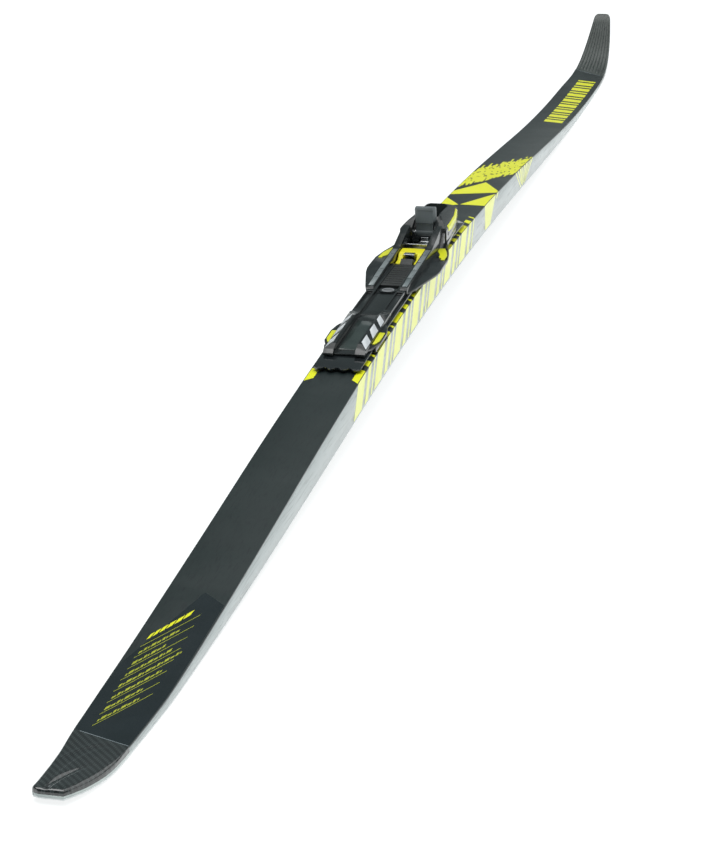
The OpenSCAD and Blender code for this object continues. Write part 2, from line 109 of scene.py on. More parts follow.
class Bench:
    """A node tree with short ways to add nodes and to join them."""

    def __init__(self, tree: bpy.types.NodeTree) -> None:
        """Keeps the tree that nodes are added to."""
        self.tree = tree

    def add(self, kind: str, **settings: object) -> bpy.types.Node:
        """Adds a node.

        Args:
            kind: the node's type name without its ShaderNode prefix.
            settings: attributes set on the new node.

        Returns:
            The node.
        """
        node = self.tree.nodes.new("ShaderNode" + kind)
        for name, value in settings.items():
            setattr(node, name, value)
        return node

    def plug(self, socket: bpy.types.NodeSocket, value: object) -> None:
        """Joins a socket to another one, or sets its plain value."""
        if isinstance(value, bpy.types.NodeSocket):
            self.tree.links.new(value, socket)
        else:
            socket.default_value = value

    def math(self, operation: str, a: object, b: object = 0.0, clamp: bool = False) -> bpy.types.NodeSocket:
        """Adds a Math node and returns its result."""
        node = self.add("Math", operation=operation, use_clamp=clamp)
        self.plug(node.inputs[0], a)
        self.plug(node.inputs[1], b)
        return node.outputs[0]

    def noise(self, vector: bpy.types.NodeSocket, scale: float, detail: float = 3.0) -> bpy.types.NodeSocket:
        """Adds a Noise Texture and returns its factor."""
        node = self.add("TexNoise")
        self.plug(node.inputs["Vector"], vector)
        node.inputs["Scale"].default_value = scale
        node.inputs["Detail"].default_value = detail
        return node.outputs[0]

    def ramp(self, factor: object, low: float, high: float) -> bpy.types.NodeSocket:
        """Maps a value from low..high to 0..1 with a smooth step."""
        node = self.add("MapRange", interpolation_type="SMOOTHSTEP")
        self.plug(node.inputs["Value"], factor)
        node.inputs["From Min"].default_value = low
        node.inputs["From Max"].default_value = high
        return node.outputs[0]

    def mix(self, factor: object, a: object, b: object) -> bpy.types.NodeSocket:
        """Mixes two colours."""
        node = self.add("Mix", data_type="RGBA")
        self.plug(node.inputs["Factor"], factor)
        self.plug(node.inputs["A"], a)
        self.plug(node.inputs["B"], b)
        return node.outputs["Result"]

    def axis(self, vector: bpy.types.NodeSocket, number: int) -> bpy.types.NodeSocket:
        """Returns one axis of a vector: 0 for x, 1 for y, 2 for z."""
        split = self.add("SeparateXYZ")
        self.plug(split.inputs[0], vector)
        return split.outputs[number]

    def stretched(self, vector: bpy.types.NodeSocket,
                  scale: tuple[float, float, float]) -> bpy.types.NodeSocket:
        """Scales a position along each axis with a Mapping node."""
        node = self.add("Mapping")
        self.plug(node.inputs["Vector"], vector)
        node.inputs["Scale"].default_value = scale
        return node.outputs[0]


def new_group(name: str, inputs: dict[str, str], outputs: dict[str, str]) -> tuple[Bench, dict, dict]:
    """Makes an empty shader group with named sockets.

    Args:
        name: the group's name.
        inputs: socket name to socket type, without the NodeSocket prefix.
        outputs: the same for the outputs.

    Returns:
        The bench of the group, its input sockets by name, and its output sockets by name.
    """
    tree = bpy.data.node_groups.new(name, "ShaderNodeTree")
    for in_out, sockets in (("INPUT", inputs), ("OUTPUT", outputs)):
        for label, kind in sockets.items():
            tree.interface.new_socket(name=label, in_out=in_out, socket_type="NodeSocket" + kind)
    source = tree.nodes.new("NodeGroupInput")
    sink = tree.nodes.new("NodeGroupOutput")
    return Bench(tree), {n: source.outputs[n] for n in inputs}, {n: sink.inputs[n] for n in outputs}


class Effects:
    """The shader groups that several finishes share."""

    def __init__(self) -> None:
        """Builds every group once."""
        self.grain = self._grain()
        self.weave = self._weave()
        self.handling = self._handling()

    def _grain(self) -> bpy.types.NodeTree:
        """Fine moulded grain: a height and a roughness that both follow small noise."""
        bench, i, o = new_group("moulded_grain", {"Vector": "Vector", "Scale": "Float", "Rough": "Float",
                                                  "Spread": "Float"}, {"Roughness": "Float", "Height": "Float"})
        node = bench.add("TexNoise")
        bench.plug(node.inputs["Vector"], i["Vector"])
        bench.plug(node.inputs["Scale"], i["Scale"])
        node.inputs["Detail"].default_value = 2.0
        off = bench.math("SUBTRACT", node.outputs[0], 0.5)
        wide = bench.noise(i["Vector"], 60.0)
        drift = bench.math("MULTIPLY", bench.math("SUBTRACT", wide, 0.5), i["Spread"])
        bench.plug(o["Height"], node.outputs[0])
        speck = bench.math("MULTIPLY", off, i["Spread"])
        bench.plug(o["Roughness"], bench.math("ADD", i["Rough"], bench.math("ADD", speck, drift), clamp=True))
        return bench.tree

    def _weave(self) -> bpy.types.NodeTree:
        """Two-by-two twill: yarns cross in cells, and the upper yarn steps one cell along in each row.

        With cells (i, j), the lengthwise yarn is on top where (i + j) mod 4 is under 2. Across its width a yarn
        is round: its height is the sine of its place between its edges.
        """
        bench, i, o = new_group("twill_weave", {"Vector": "Vector", "Yarn": "Float"},
                                {"Lengthwise": "Float", "Height": "Float"})
        across = bench.math("DIVIDE", bench.axis(i["Vector"], 0), i["Yarn"])
        along = bench.math("DIVIDE", bench.axis(i["Vector"], 1), i["Yarn"])
        cells = bench.math("ADD", bench.math("FLOOR", across), bench.math("FLOOR", along))
        upper = bench.math("LESS_THAN", bench.math("FLOORED_MODULO", cells, 4.0), 1.5)
        swell_a = bench.math("SINE", bench.math("MULTIPLY", bench.math("FRACT", across), math.pi))
        swell_b = bench.math("SINE", bench.math("MULTIPLY", bench.math("FRACT", along), math.pi))
        over = bench.math("MULTIPLY", upper, swell_a)
        under = bench.math("MULTIPLY", bench.math("SUBTRACT", 1.0, upper), swell_b)
        bench.plug(o["Lengthwise"], upper)
        bench.plug(o["Height"], bench.math("ADD", over, under))
        return bench.tree

    def _handling(self) -> bpy.types.NodeTree:
        """Light use: a tint for thin dust and scuffs, and the extra roughness that goes with them."""
        bench, i, o = new_group("handling", {"Vector": "Vector", "Color": "Color", "Amount": "Float",
                                             "Roughness": "Float"}, {"Color": "Color", "Roughness": "Float"})
        cloud = bench.ramp(bench.noise(i["Vector"], 35.0, 5.0), 0.45, 0.75)
        hair = bench.noise(bench.stretched(i["Vector"], (900.0, 40.0, 900.0)), 1.0, 2.0)
        scratch = bench.ramp(hair, 0.66, 0.74)
        both = bench.math("ADD", bench.math("MULTIPLY", cloud, 0.6), bench.math("MULTIPLY", scratch, 0.4))
        mask = bench.math("MULTIPLY", both, i["Amount"], clamp=True)
        bench.plug(o["Color"], bench.mix(mask, i["Color"], (0.62, 0.64, 0.64, 1.0)))
        dull = bench.math("MULTIPLY", mask, 0.5)
        bench.plug(o["Roughness"], bench.math("ADD", i["Roughness"], dull, clamp=True))
        return bench.tree

    @staticmethod
    def place(bench: Bench, tree: bpy.types.NodeTree, **values: object) -> bpy.types.Node:
        """Places a group in a material and sets its inputs by name."""
        node = bench.add("Group")
        node.node_tree = tree
        for name, value in values.items():
            bench.plug(node.inputs[name], value)
        return node


@dataclass(frozen=True)
class Finish:
    """A moulded, painted or printed finish: one colour that drifts, fine grain, and light signs of use.

    Fields are the colour, its lighter drift, the roughness and its spread, the grain's scale and depth, the
    metallic part, the coat and its roughness, and how much dust and scuff it carries.
    """

    name: str
    color: tuple[float, float, float]
    drift: tuple[float, float, float]
    roughness: float = 0.4
    spread: float = 0.12
    grain: float = 900.0
    depth: float = 0.05
    metallic: float = 0.0
    coat: float = 0.0
    coat_roughness: float = 0.05
    use: float = 0.1
    specular: float = 0.5

    def build(self, effects: Effects) -> bpy.types.Material:
        """Makes the material.

        Args:
            effects: the shared shader groups.

        Returns:
            The material, read from Object coordinates.
        """
        material = bpy.data.materials.new(self.name)
        material.use_nodes = True
        bench = Bench(material.node_tree)
        shader = material.node_tree.nodes["Principled BSDF"]
        place = bench.add("TexCoord").outputs["Object"]
        color, height, roughness = self.surface(bench, effects, place)
        worn = effects.place(bench, effects.handling, Vector=place, Color=color, Amount=self.use,
                             Roughness=roughness)
        bench.plug(shader.inputs["Base Color"], worn.outputs["Color"])
        bench.plug(shader.inputs["Roughness"], worn.outputs["Roughness"])
        bump = bench.add("Bump")
        bump.inputs["Strength"].default_value = min(1.0, self.depth * 8.0)
        bump.inputs["Distance"].default_value = self.depth * MM
        bench.plug(bump.inputs["Height"], height)
        bench.plug(shader.inputs["Normal"], bump.outputs[0])
        shader.inputs["Metallic"].default_value = self.metallic
        shader.inputs["Coat Weight"].default_value = self.coat
        shader.inputs["Coat Roughness"].default_value = self.coat_roughness
        shader.inputs["Specular IOR Level"].default_value = self.specular
        return material

    def grained(self, bench: Bench, effects: Effects, place: bpy.types.NodeSocket) -> bpy.types.Node:
        """Places the shared grain with this finish's own values."""
        return effects.place(bench, effects.grain, Vector=place, Scale=self.grain, Rough=self.roughness,
                             Spread=self.spread)

    def surface(self, bench: Bench, effects: Effects,
                place: bpy.types.NodeSocket) -> tuple[object, object, object]:
        """Returns the colour, the height and the roughness over the surface."""
        grain = self.grained(bench, effects, place)
        cloud = bench.ramp(bench.noise(place, 45.0, 4.0), 0.3, 0.7)
        color = bench.mix(cloud, self.color + (1.0,), self.drift + (1.0,))
        return color, grain.outputs["Height"], grain.outputs["Roughness"]


@dataclass(frozen=True)
class WovenCarbon(Finish):
    """Twill carbon cloth under resin: the lengthwise yarns are painted in a lighter tone, a painted sheen for how
    they catch the light differently from the crosswise yarns.
    """

    yarn: float = 1.6
    # thread: the lighter tone painted on the lengthwise yarns, a painted sheen
    thread: tuple[float, float, float] = (0.16, 0.175, 0.18)

    def surface(self, bench: Bench, effects: Effects,
                place: bpy.types.NodeSocket) -> tuple[object, object, object]:
        """Returns yarn colours with a painted sheen on the lengthwise yarns, the yarns' height and their
        roughness.
        """
        weave = effects.place(bench, effects.weave, Vector=place, Yarn=self.yarn * MM)
        fibre = bench.noise(bench.stretched(place, (5000.0, 5000.0, 5000.0)), 1.0, 1.0)
        # painted sheen: the raised lengthwise yarns take the lighter thread colour
        lit = bench.math("MULTIPLY", weave.outputs["Height"], weave.outputs["Lengthwise"])
        lit = bench.math("MULTIPLY", lit, bench.math("ADD", fibre, 0.45), clamp=True)
        color = bench.mix(lit, self.color + (1.0,), self.thread + (1.0,))
        cloud = bench.ramp(bench.noise(place, 30.0), 0.35, 0.7)
        rough = bench.math("ADD", self.roughness, bench.math("MULTIPLY", cloud, self.spread))
        return color, weave.outputs["Height"], rough


@dataclass(frozen=True)
class Threaded(Finish):
    """A film over lengthwise fibres: short hairlines of another shade run along the ski."""

    thread: tuple[float, float, float] = (0.02, 0.022, 0.024)
    pitch: float = 1400.0

    def surface(self, bench: Bench, effects: Effects,
                place: bpy.types.NodeSocket) -> tuple[object, object, object]:
        """Returns the film's colour with its hairlines, their height and the roughness."""
        line = bench.noise(bench.stretched(place, (self.pitch, 38.0, self.pitch)), 1.0, 2.0)
        hair = bench.ramp(line, 0.54, 0.66)
        cloud = bench.ramp(bench.noise(place, 12.0, 4.0), 0.3, 0.7)
        film = bench.mix(cloud, self.color + (1.0,), self.drift + (1.0,))
        color = bench.mix(hair, film, self.thread + (1.0,))
        return color, line, self.grained(bench, effects, place).outputs["Roughness"]


@dataclass(frozen=True)
class ScrapedSidewall(Threaded):
    """A pale sidewall with fine lengthwise streaks, capped in a dark tone from a given y on towards the tip."""

    cap: tuple[float, float, float] = (0.03, 0.036, 0.036)
    cap_start: float = 0.775

    def surface(self, bench: Bench, effects: Effects,
                place: bpy.types.NodeSocket) -> tuple[object, object, object]:
        """Returns the streaked colour with its dark front, the streaks' height and the roughness."""
        color, height, roughness = super().surface(bench, effects, place)
        front = bench.ramp(bench.axis(place, 1), self.cap_start, self.cap_start + 0.02)
        return bench.mix(front, color, self.cap + (1.0,)), height, roughness


@dataclass(frozen=True)
class RunningBase(Threaded):
    """A dark sintered base whose side edges are of clear plastic, told apart by the surface's own normal."""

    edge: tuple[float, float, float] = (0.86, 0.88, 0.88)

    def surface(self, bench: Bench, effects: Effects,
                place: bpy.types.NodeSocket) -> tuple[object, object, object]:
        """Returns the base's colour with its clear edges, the streaks' height and the roughness."""
        color, height, roughness = super().surface(bench, effects, place)
        level = bench.math("ABSOLUTE", bench.axis(bench.add("NewGeometry").outputs["Normal"], 2))
        upright = bench.math("SUBTRACT", 1.0, bench.ramp(level, 0.75, 0.95))
        return bench.mix(upright, color, self.edge + (1.0,)), height, roughness


@dataclass(frozen=True)
class Wood(Finish):
    """Plain light wood with lengthwise growth lines."""

    late: tuple[float, float, float] = (0.36, 0.25, 0.14)

    def surface(self, bench: Bench, effects: Effects,
                place: bpy.types.NodeSocket) -> tuple[object, object, object]:
        """Returns growth-line colours, their height and an even roughness."""
        lines = bench.noise(bench.stretched(place, (420.0, 6.0, 420.0)), 1.0, 4.0)
        color = bench.mix(bench.ramp(lines, 0.42, 0.62), self.color + (1.0,), self.late + (1.0,))
        return color, lines, self.roughness


class Finishes:
    """Every finish of the ski and binding, built when first asked for."""

    RECIPES: tuple[Finish, ...] = (
        Threaded("topsheet_film", (0.013, 0.022, 0.022), (0.018, 0.028, 0.028), 0.36, 0.05, 700, 0.012,
                 use=0.01,
                 thread=(0.009, 0.014, 0.016)),
        Finish("legend_panel", (0.007, 0.013, 0.016), (0.010, 0.017, 0.021), 0.24, 0.05, 700, 0.01, coat=0.3,
               use=0.01),
        Finish("print_fine", (0.42, 0.46, 0.02), (0.50, 0.54, 0.03), 0.4, 0.08, 900, 0.008, use=0.0),
        Finish("print_yellow", (0.93, 0.95, 0.014), (0.95, 0.97, 0.02), 0.33, 0.08, 900, 0.008, use=0.03),
        Finish("print_pale", (0.93, 0.96, 0.26), (0.95, 0.98, 0.36), 0.36, 0.1, 900, 0.01, use=0.08),
        ScrapedSidewall("sidewall_plastic", (0.36, 0.41, 0.41), (0.44, 0.49, 0.49), 0.3, 0.1, 800, 0.02,
                        thread=(0.29, 0.33, 0.33), pitch=900.0, coat=0.3, use=0.05),
        RunningBase("base_plastic", (0.018, 0.018, 0.020), (0.028, 0.028, 0.03), 0.5, 0.08, 800, 0.03,
                 thread=(0.035, 0.035, 0.038), pitch=2600.0, use=0.05),
        # laminate_carbon and tail_carbon paint their lengthwise yarns in the lighter thread tone, a painted sheen
        WovenCarbon("laminate_carbon", (0.012, 0.013, 0.014), (0.03, 0.03, 0.03), 0.3, 0.1, 800, 0.05, use=0.0),
        Wood("core_wood", (0.62, 0.48, 0.30), (0.62, 0.48, 0.30), 0.62, 0.1, 800, 0.05, use=0.0),
        WovenCarbon("tail_carbon", (0.010, 0.012, 0.013), (0.03, 0.03, 0.03), 0.2, 0.08, 800, 0.02, coat=1.0,
                    coat_roughness=0.03, use=0.03, yarn=1.3, thread=(0.045, 0.055, 0.055)),
        Threaded("tip_carbon", (0.028, 0.038, 0.033), (0.042, 0.053, 0.047), 0.38, 0.1, 800, 0.1,
                 thread=(0.006, 0.008, 0.008), pitch=620.0, coat=0.3, coat_roughness=0.25, use=0.08),
        # painted highlight: the pale glossy tone of the band that stands in for the glints on the tail's clear
        # resin rim
        Finish("painted_rim_highlight", (0.42, 0.48, 0.47), (0.56, 0.62, 0.60), 0.16, 0.08, 900, 0.01, coat=0.8, use=0.05),
        Finish("plate_gloss", (0.008, 0.011, 0.013), (0.012, 0.015, 0.017), 0.15, 0.04, 1200, 0.01, coat=0.5,
               use=0.02),
        Finish("chassis_plastic", (0.009, 0.011, 0.012), (0.013, 0.016, 0.017), 0.2, 0.05, 1500, 0.01, coat=0.3,
               use=0.01),
        Finish("deck_plastic", (0.012, 0.015, 0.015), (0.018, 0.021, 0.021), 0.5, 0.12, 1300, 0.16, use=0.05),
        Finish("flexor_rubber", (0.84, 0.76, 0.004), (0.90, 0.84, 0.008), 0.42, 0.1, 1100, 0.05, use=0.03),
        Finish("insert_yellow", (0.80, 0.83, 0.012), (0.84, 0.86, 0.03), 0.3, 0.08, 1200, 0.02, coat=0.2,
               use=0.03),
        Finish("facing_silver", (0.24, 0.28, 0.29), (0.42, 0.46, 0.47), 0.3, 0.12, 1500, 0.03, metallic=0.6,
               use=0.03),
        Finish("mark_silver", (0.66, 0.69, 0.72), (0.80, 0.83, 0.85), 0.3, 0.1, 1200, 0.02, metallic=0.25,
               use=0.05),
        Finish("bare_steel", (0.60, 0.61, 0.62), (0.68, 0.69, 0.70), 0.24, 0.12, 2200, 0.02, metallic=1.0,
               use=0.05),
        Finish("lever_plastic", (0.105, 0.122, 0.13), (0.135, 0.155, 0.162), 0.5, 0.14, 1500, 0.06, use=0.06),
        Finish("lock_plastic", (0.20, 0.21, 0.22), (0.26, 0.27, 0.28), 0.42, 0.1, 1500, 0.04, use=0.08),
        Finish("label_tint", (0.022, 0.034, 0.032), (0.034, 0.050, 0.044), 0.2, 0.06, 900, 0.01, coat=0.7,
               use=0.03),
        Finish("seam_light", (0.20, 0.24, 0.26), (0.28, 0.32, 0.34), 0.25, 0.1, 900, 0.01, use=0.0),
    )

    def __init__(self) -> None:
        """Builds the shared groups."""
        self.effects = Effects()
        self.recipes = {recipe.name: recipe for recipe in self.RECIPES}
        self.made: dict[str, bpy.types.Material] = {}

    def get(self, name: str) -> bpy.types.Material:
        """Returns a finish's material, made once."""
        if name not in self.made:
            self.made[name] = self.recipes[name].build(self.effects)
        return self.made[name]


# ---------------------------------------------------------------- mesh building


@dataclass
class Shell:
    """Points and faces of closed surfaces that make one piece."""

    points: np.ndarray = field(default_factory=lambda: np.zeros((0, 3)))
    faces: list[list[int]] = field(default_factory=list)

    def join(self, other: "Shell") -> None:
        """Adds another closed surface to this one."""
        start = len(self.points)
        self.points = np.vstack([self.points, other.points])
        self.faces += [[start + v for v in face] for face in other.faces]


def swept(rings: np.ndarray) -> Shell:
    """Joins a run of closed rings into one closed skin with flat ends.

    Args:
        rings: positions, shaped (rings, points of a ring, 3).

    Returns:
        The skin: quads between neighbouring rings, and one face across each end.
    """
    count, size = rings.shape[:2]
    a = (np.arange(count - 1)[:, None] * size + np.arange(size)[None, :])
    b = (np.arange(count - 1)[:, None] * size + (np.arange(size)[None, :] + 1) % size)
    quads = np.stack([a, b, b + size, a + size], -1).reshape(-1, 4)
    ends = [list(range(size))[::-1], list(range((count - 1) * size, count * size))]
    return Shell(rings.reshape(-1, 3), quads.tolist() + ends)


def slab(upper: np.ndarray, lower: np.ndarray) -> Shell:
    """Closes the space between two grids of the same shape, (along, across, 3)."""
    return swept(np.concatenate([upper, lower[:, ::-1]], axis=1))


def smooth_step(x: np.ndarray) -> np.ndarray:
    """Eases from 0 to 1 with x, as 3x^2 - 2x^3."""
    t = np.clip(x, 0.0, 1.0)
    return t * t * (3.0 - 2.0 * t)


def finished(name: str, shell: Shell, material: bpy.types.Material, body: Body,
             replaced: tuple[str, ...] = (), sharp: float = 35.0) -> bpy.types.Object:
    """Turns a shell into a piece that rides on a body.

    Args:
        name: the piece's name.
        shell: its closed surfaces, in the frame's own place.
        material: its finish.
        body: the body it rides on.
        replaced: CAD nodes that it stands for.
        sharp: the angle in degrees past which an edge stays sharp.

    Returns:
        The piece.
    """
    mesh = bpy.data.meshes.new(name)
    mesh.from_pydata(shell.points.tolist(), [], shell.faces)
    work = bmesh.new()
    work.from_mesh(mesh)
    bmesh.ops.recalc_face_normals(work, faces=work.faces[:])
    work.to_mesh(mesh)
    work.free()
    mesh.shade_smooth()
    mesh.set_sharp_from_angle(angle=math.radians(sharp))
    mesh.materials.append(material)
    piece = bpy.data.objects.new(name, mesh)
    bpy.context.scene.collection.objects.link(piece)
    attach(piece, body.value)
    if replaced:
        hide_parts(*replaced)
    LOG.info("%s: %d points", name, len(shell.points))
    return piece


def node_points(node: bpy.types.Object) -> np.ndarray:
    """Returns a CAD node's points as an array."""
    out = np.zeros(len(node.data.vertices) * 3)
    node.data.vertices.foreach_get("co", out)
    return out.reshape(-1, 3)


@dataclass
class SoftEdges:
    """Rounds the edges of CAD nodes: a merged copy with small bevels stands for each node."""

    nodes: dict[str, bpy.types.Object]
    slots: dict[str, str]
    finishes: Finishes
    weld: float = 0.002 * MM
    planar: float = math.radians(0.04)
    edge: float = math.radians(28)

    def build(self, node: str, finish: str, body: Body, width: float, segments: int = 2) -> bpy.types.Object:
        """Makes the rounded piece of a node.

        Args:
            node: the CAD node's name.
            finish: the name of its finish.
            body: the body it rides on.
            width: the bevel's width in millimetres.
            segments: the bevel's steps.

        Returns:
            The piece, which replaces the node.
        """
        mesh = self.nodes[node].data.copy()
        mesh.name = node + "_rounded"
        work = bmesh.new()
        work.from_mesh(mesh)
        bmesh.ops.remove_doubles(work, verts=work.verts[:], dist=self.weld)
        bmesh.ops.dissolve_limit(work, angle_limit=self.planar, verts=work.verts[:], edges=work.edges[:])
        work.to_mesh(mesh)
        work.free()
        mesh.shade_smooth()
        mesh.materials.clear()
        mesh.materials.append(self.finishes.get(finish))
        piece = bpy.data.objects.new(node + "_piece", mesh)
        bpy.context.scene.collection.objects.link(piece)
        bevel = piece.modifiers.new("edges", "BEVEL")
        bevel.width = width * MM
        bevel.segments = segments
        bevel.limit_method = "ANGLE"
        bevel.angle_limit = self.edge
        bevel.harden_normals = True
        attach(piece, body.value)
        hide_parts(node)
        LOG.info("%s: rounded by %.2f mm", node, width)
        return piece


# ---------------------------------------------------------------- the ski


@dataclass
class Profile:
    """The ski's outline and heights, read from its nodes: all positions of prints come from here."""

    nodes: dict[str, bpy.types.Object]
    cell: float = 0.2 * MM
    edge_band: float = 0.15 * MM

    def __post_init__(self) -> None:
        """Reads the outline from the base, and the top from the pieces that show above."""
        base = node_points(self.nodes["running_base"])
        self.tail = float(base[:, 1].min())
        self.length = float(np.ptp(base[:, 1]))
        self.left = self._by_station(base, 0, np.minimum)
        self.right = self._by_station(base, 0, np.maximum)
        self.bottom = self._by_station(base, 2, np.minimum)
        upper = np.vstack([node_points(self.nodes[n]) for n in ("topsheet", "tail_guard", "tip_cap")])
        rim = np.interp(upper[:, 1], *self.right)
        self.top = self._by_station(upper[upper[:, 0] > rim - self.edge_band], 2, np.maximum)
        film = node_points(self.nodes["topsheet"])
        self.film_ends = {side: self._film_end(film, side) for side in Side}

    def _by_station(self, points: np.ndarray, column: int, pick: np.ufunc) -> tuple[np.ndarray, np.ndarray]:
        """Returns the lowest or highest value of a column at each distinct y, counted in cells."""
        keys = np.round(points[:, 1] / self.cell).astype(int)
        order = np.argsort(keys, kind="stable")
        stations, starts = np.unique(keys[order], return_index=True)
        return stations * self.cell, pick.reduceat(points[order, column], starts)

    @staticmethod
    def _film_end(film: np.ndarray, side: Side) -> np.ndarray:
        """Returns (x, y) of the topsheet's rearmost point near one edge, which lies on its slanted rear seam."""
        edge = film[film[:, 0] * side.value > 13 * MM]
        return edge[np.argmin(edge[:, 1]), :2]

    def y(self, station: np.ndarray | float) -> np.ndarray:
        """Turns stations in millimetres into y."""
        return self.tail + np.asarray(station, float) * MM

    def top_z(self, y: np.ndarray) -> np.ndarray:
        """Height of the top at y."""
        return np.interp(y, *self.top)

    def bottom_z(self, y: np.ndarray) -> np.ndarray:
        """Height of the base's underside at y."""
        return np.interp(y, *self.bottom)

    def edge_x(self, y: np.ndarray, side: Side) -> np.ndarray:
        """Place of one edge at y."""
        return np.interp(y, *(self.left if side is Side.LEFT else self.right))

    def seam_y(self, x: np.ndarray) -> np.ndarray:
        """The slanted rear seam: a straight line between its two ends."""
        (x0, y0), (x1, y1) = self.film_ends[Side.LEFT], self.film_ends[Side.RIGHT]
        return y0 + (y1 - y0) * (x - x0) / (x1 - x0)


@dataclass
class SkiPiece:
    """What each dressed piece of the ski needs: the ski's profile, the finishes, and the base's thickness."""

    profile: Profile
    finishes: Finishes
    base: float = 1.2 * MM

    def closed(self, upper: np.ndarray) -> Shell:
        """Closes an upper surface down to the top of the running base."""
        lower = upper.copy()
        lower[..., 2] = self.profile.bottom_z(upper[..., 1]) + self.base
        return slab(upper, lower)


def rounded_rim(inside: np.ndarray, radius: np.ndarray | float) -> np.ndarray:
    """Drop of a rounded rim, d inside the outline: r - sqrt(r^2 - (r - d)^2) while d is under r."""
    reach = np.clip(inside / radius, 0.0, 1.0)
    return radius * (1.0 - np.sqrt(1.0 - (1.0 - reach) ** 2))


@dataclass
class TailGuard(SkiPiece):
    """The glossy carbon tail: rounded at its rim, with a raised pad and an arched ridge."""

    rim: float = 2.1 * MM
    seam_rim: float = 0.3 * MM
    across: int = 81
    along: int = 90

    def relief(self, x: np.ndarray, s: np.ndarray) -> np.ndarray:
        """Height of the moulded relief at (x, s), in millimetres.

        A pad is raised inside a slanted ellipse, with a soft slope at its rim, and a low round ridge runs along
        an arch ahead of it. Two shallow flutes run to the tail end.
        """
        turn = math.radians(14)
        u = ((x - 2.0) * math.cos(turn) - (s - 30.0) * math.sin(turn)) / 10.5
        v = ((x - 2.0) * math.sin(turn) + (s - 30.0) * math.cos(turn)) / 27.0
        pad = smooth_step((1.12 - np.hypot(u, v)) / 0.22)
        arch_s = 60.0 - 0.055 * (x - 4.0) ** 2
        arch = np.exp(-(((s - arch_s) / 2.6) ** 2)) * smooth_step((18.0 - np.abs(x)) / 5.0)
        flute = np.exp(-(((x + 9.5 - 0.012 * s * s) / 2.0) ** 2)) * smooth_step((40.0 - s) / 25.0)
        edge = np.exp(-(((x - 11.0 - 0.006 * s * s) / 1.8) ** 2)) * smooth_step((34.0 - s) / 20.0)
        return 0.35 * pad + 0.28 * arch - 1.0 * flute - 0.85 * edge

    def build(self) -> bpy.types.Object:
        """Builds the guard as one slab.

        A grid (v, u) runs from the tail end to the seam and from the left edge to the right edge. The top drops
        in a quarter circle at the rim, tighter near the seam, and the slab's underside lies on the base.

        Returns:
            The piece, which replaces tail_guard.
        """
        p = self.profile
        u, v = np.meshgrid(np.linspace(0.0, 1.0, self.across), np.linspace(0.0, 1.0, self.along) ** 1.35)
        x = (u - 0.5) * 36 * MM
        for _ in range(5):
            y = p.tail + v * (p.seam_y(x) - p.tail)
            left, right = p.edge_x(y, Side.LEFT), p.edge_x(y, Side.RIGHT)
            x = left + (right - left) * (0.5 - 0.5 * np.cos(np.pi * u))
        inside = np.minimum(np.minimum(x - left, right - x), y - p.tail)
        rim = self.seam_rim + self.rim * smooth_step((p.seam_y(x) - y) / (30 * MM))
        ease = smooth_step(inside / (4 * MM))
        lift = self.relief(x / MM, (y - p.tail) / MM) * MM * ease
        lift *= smooth_step((p.seam_y(x) - y) / (2 * MM))
        z = p.top_z(y) - rounded_rim(inside, rim) + lift
        return finished("tail_guard_moulding", self.closed(np.stack([x, y, z], -1)),
                        self.finishes.get("tail_carbon"), Body.SKI, ("tail_guard",))


@dataclass
class TailRimHighlight(SkiPiece):
    """A painted highlight: a pale glossy band round the tail's end and along its right side, standing in for the
    glints on the clear resin rim.
    """

    reach: float = 64.0
    lift: float = 0.12 * MM
    deep: float = 0.5 * MM
    low: float = 1.25 * MM
    tall: float = 1.5 * MM

    def build(self) -> bpy.types.Object:
        """Builds the painted highlight as a thin band along the tail's outline.

        The outline runs back along the left side, across the end and up the right side. The band's section is a
        rectangle that stands proud of the outline along its normal (ty, -tx), where (tx, ty) is the way the
        outline runs.

        Returns:
            The piece.
        """
        p = self.profile
        back, ahead = np.linspace(9.0, 0.0, 10), self.reach * np.linspace(0.0, 1.0, 70) ** 1.5
        line = np.concatenate([np.stack([p.edge_x(p.y(s), side), p.y(s)], -1)
                               for s, side in ((back, Side.LEFT), (ahead, Side.RIGHT))])
        run = np.gradient(line, axis=0)
        normal = np.stack([run[:, 1], -run[:, 0]], -1) / np.linalg.norm(run, axis=1)[:, None]
        low = p.bottom_z(line[:, 1]) + self.low
        section = ((self.lift, 0.0), (self.lift, self.tall), (-self.deep, self.tall), (-self.deep, 0.0))
        rings = [np.column_stack([line + normal * out, low + up]) for out, up in section]
        return finished("tail_rim_painted_highlight", swept(np.stack(rings, 1)), self.finishes.get("painted_rim_highlight"), Body.SKI)


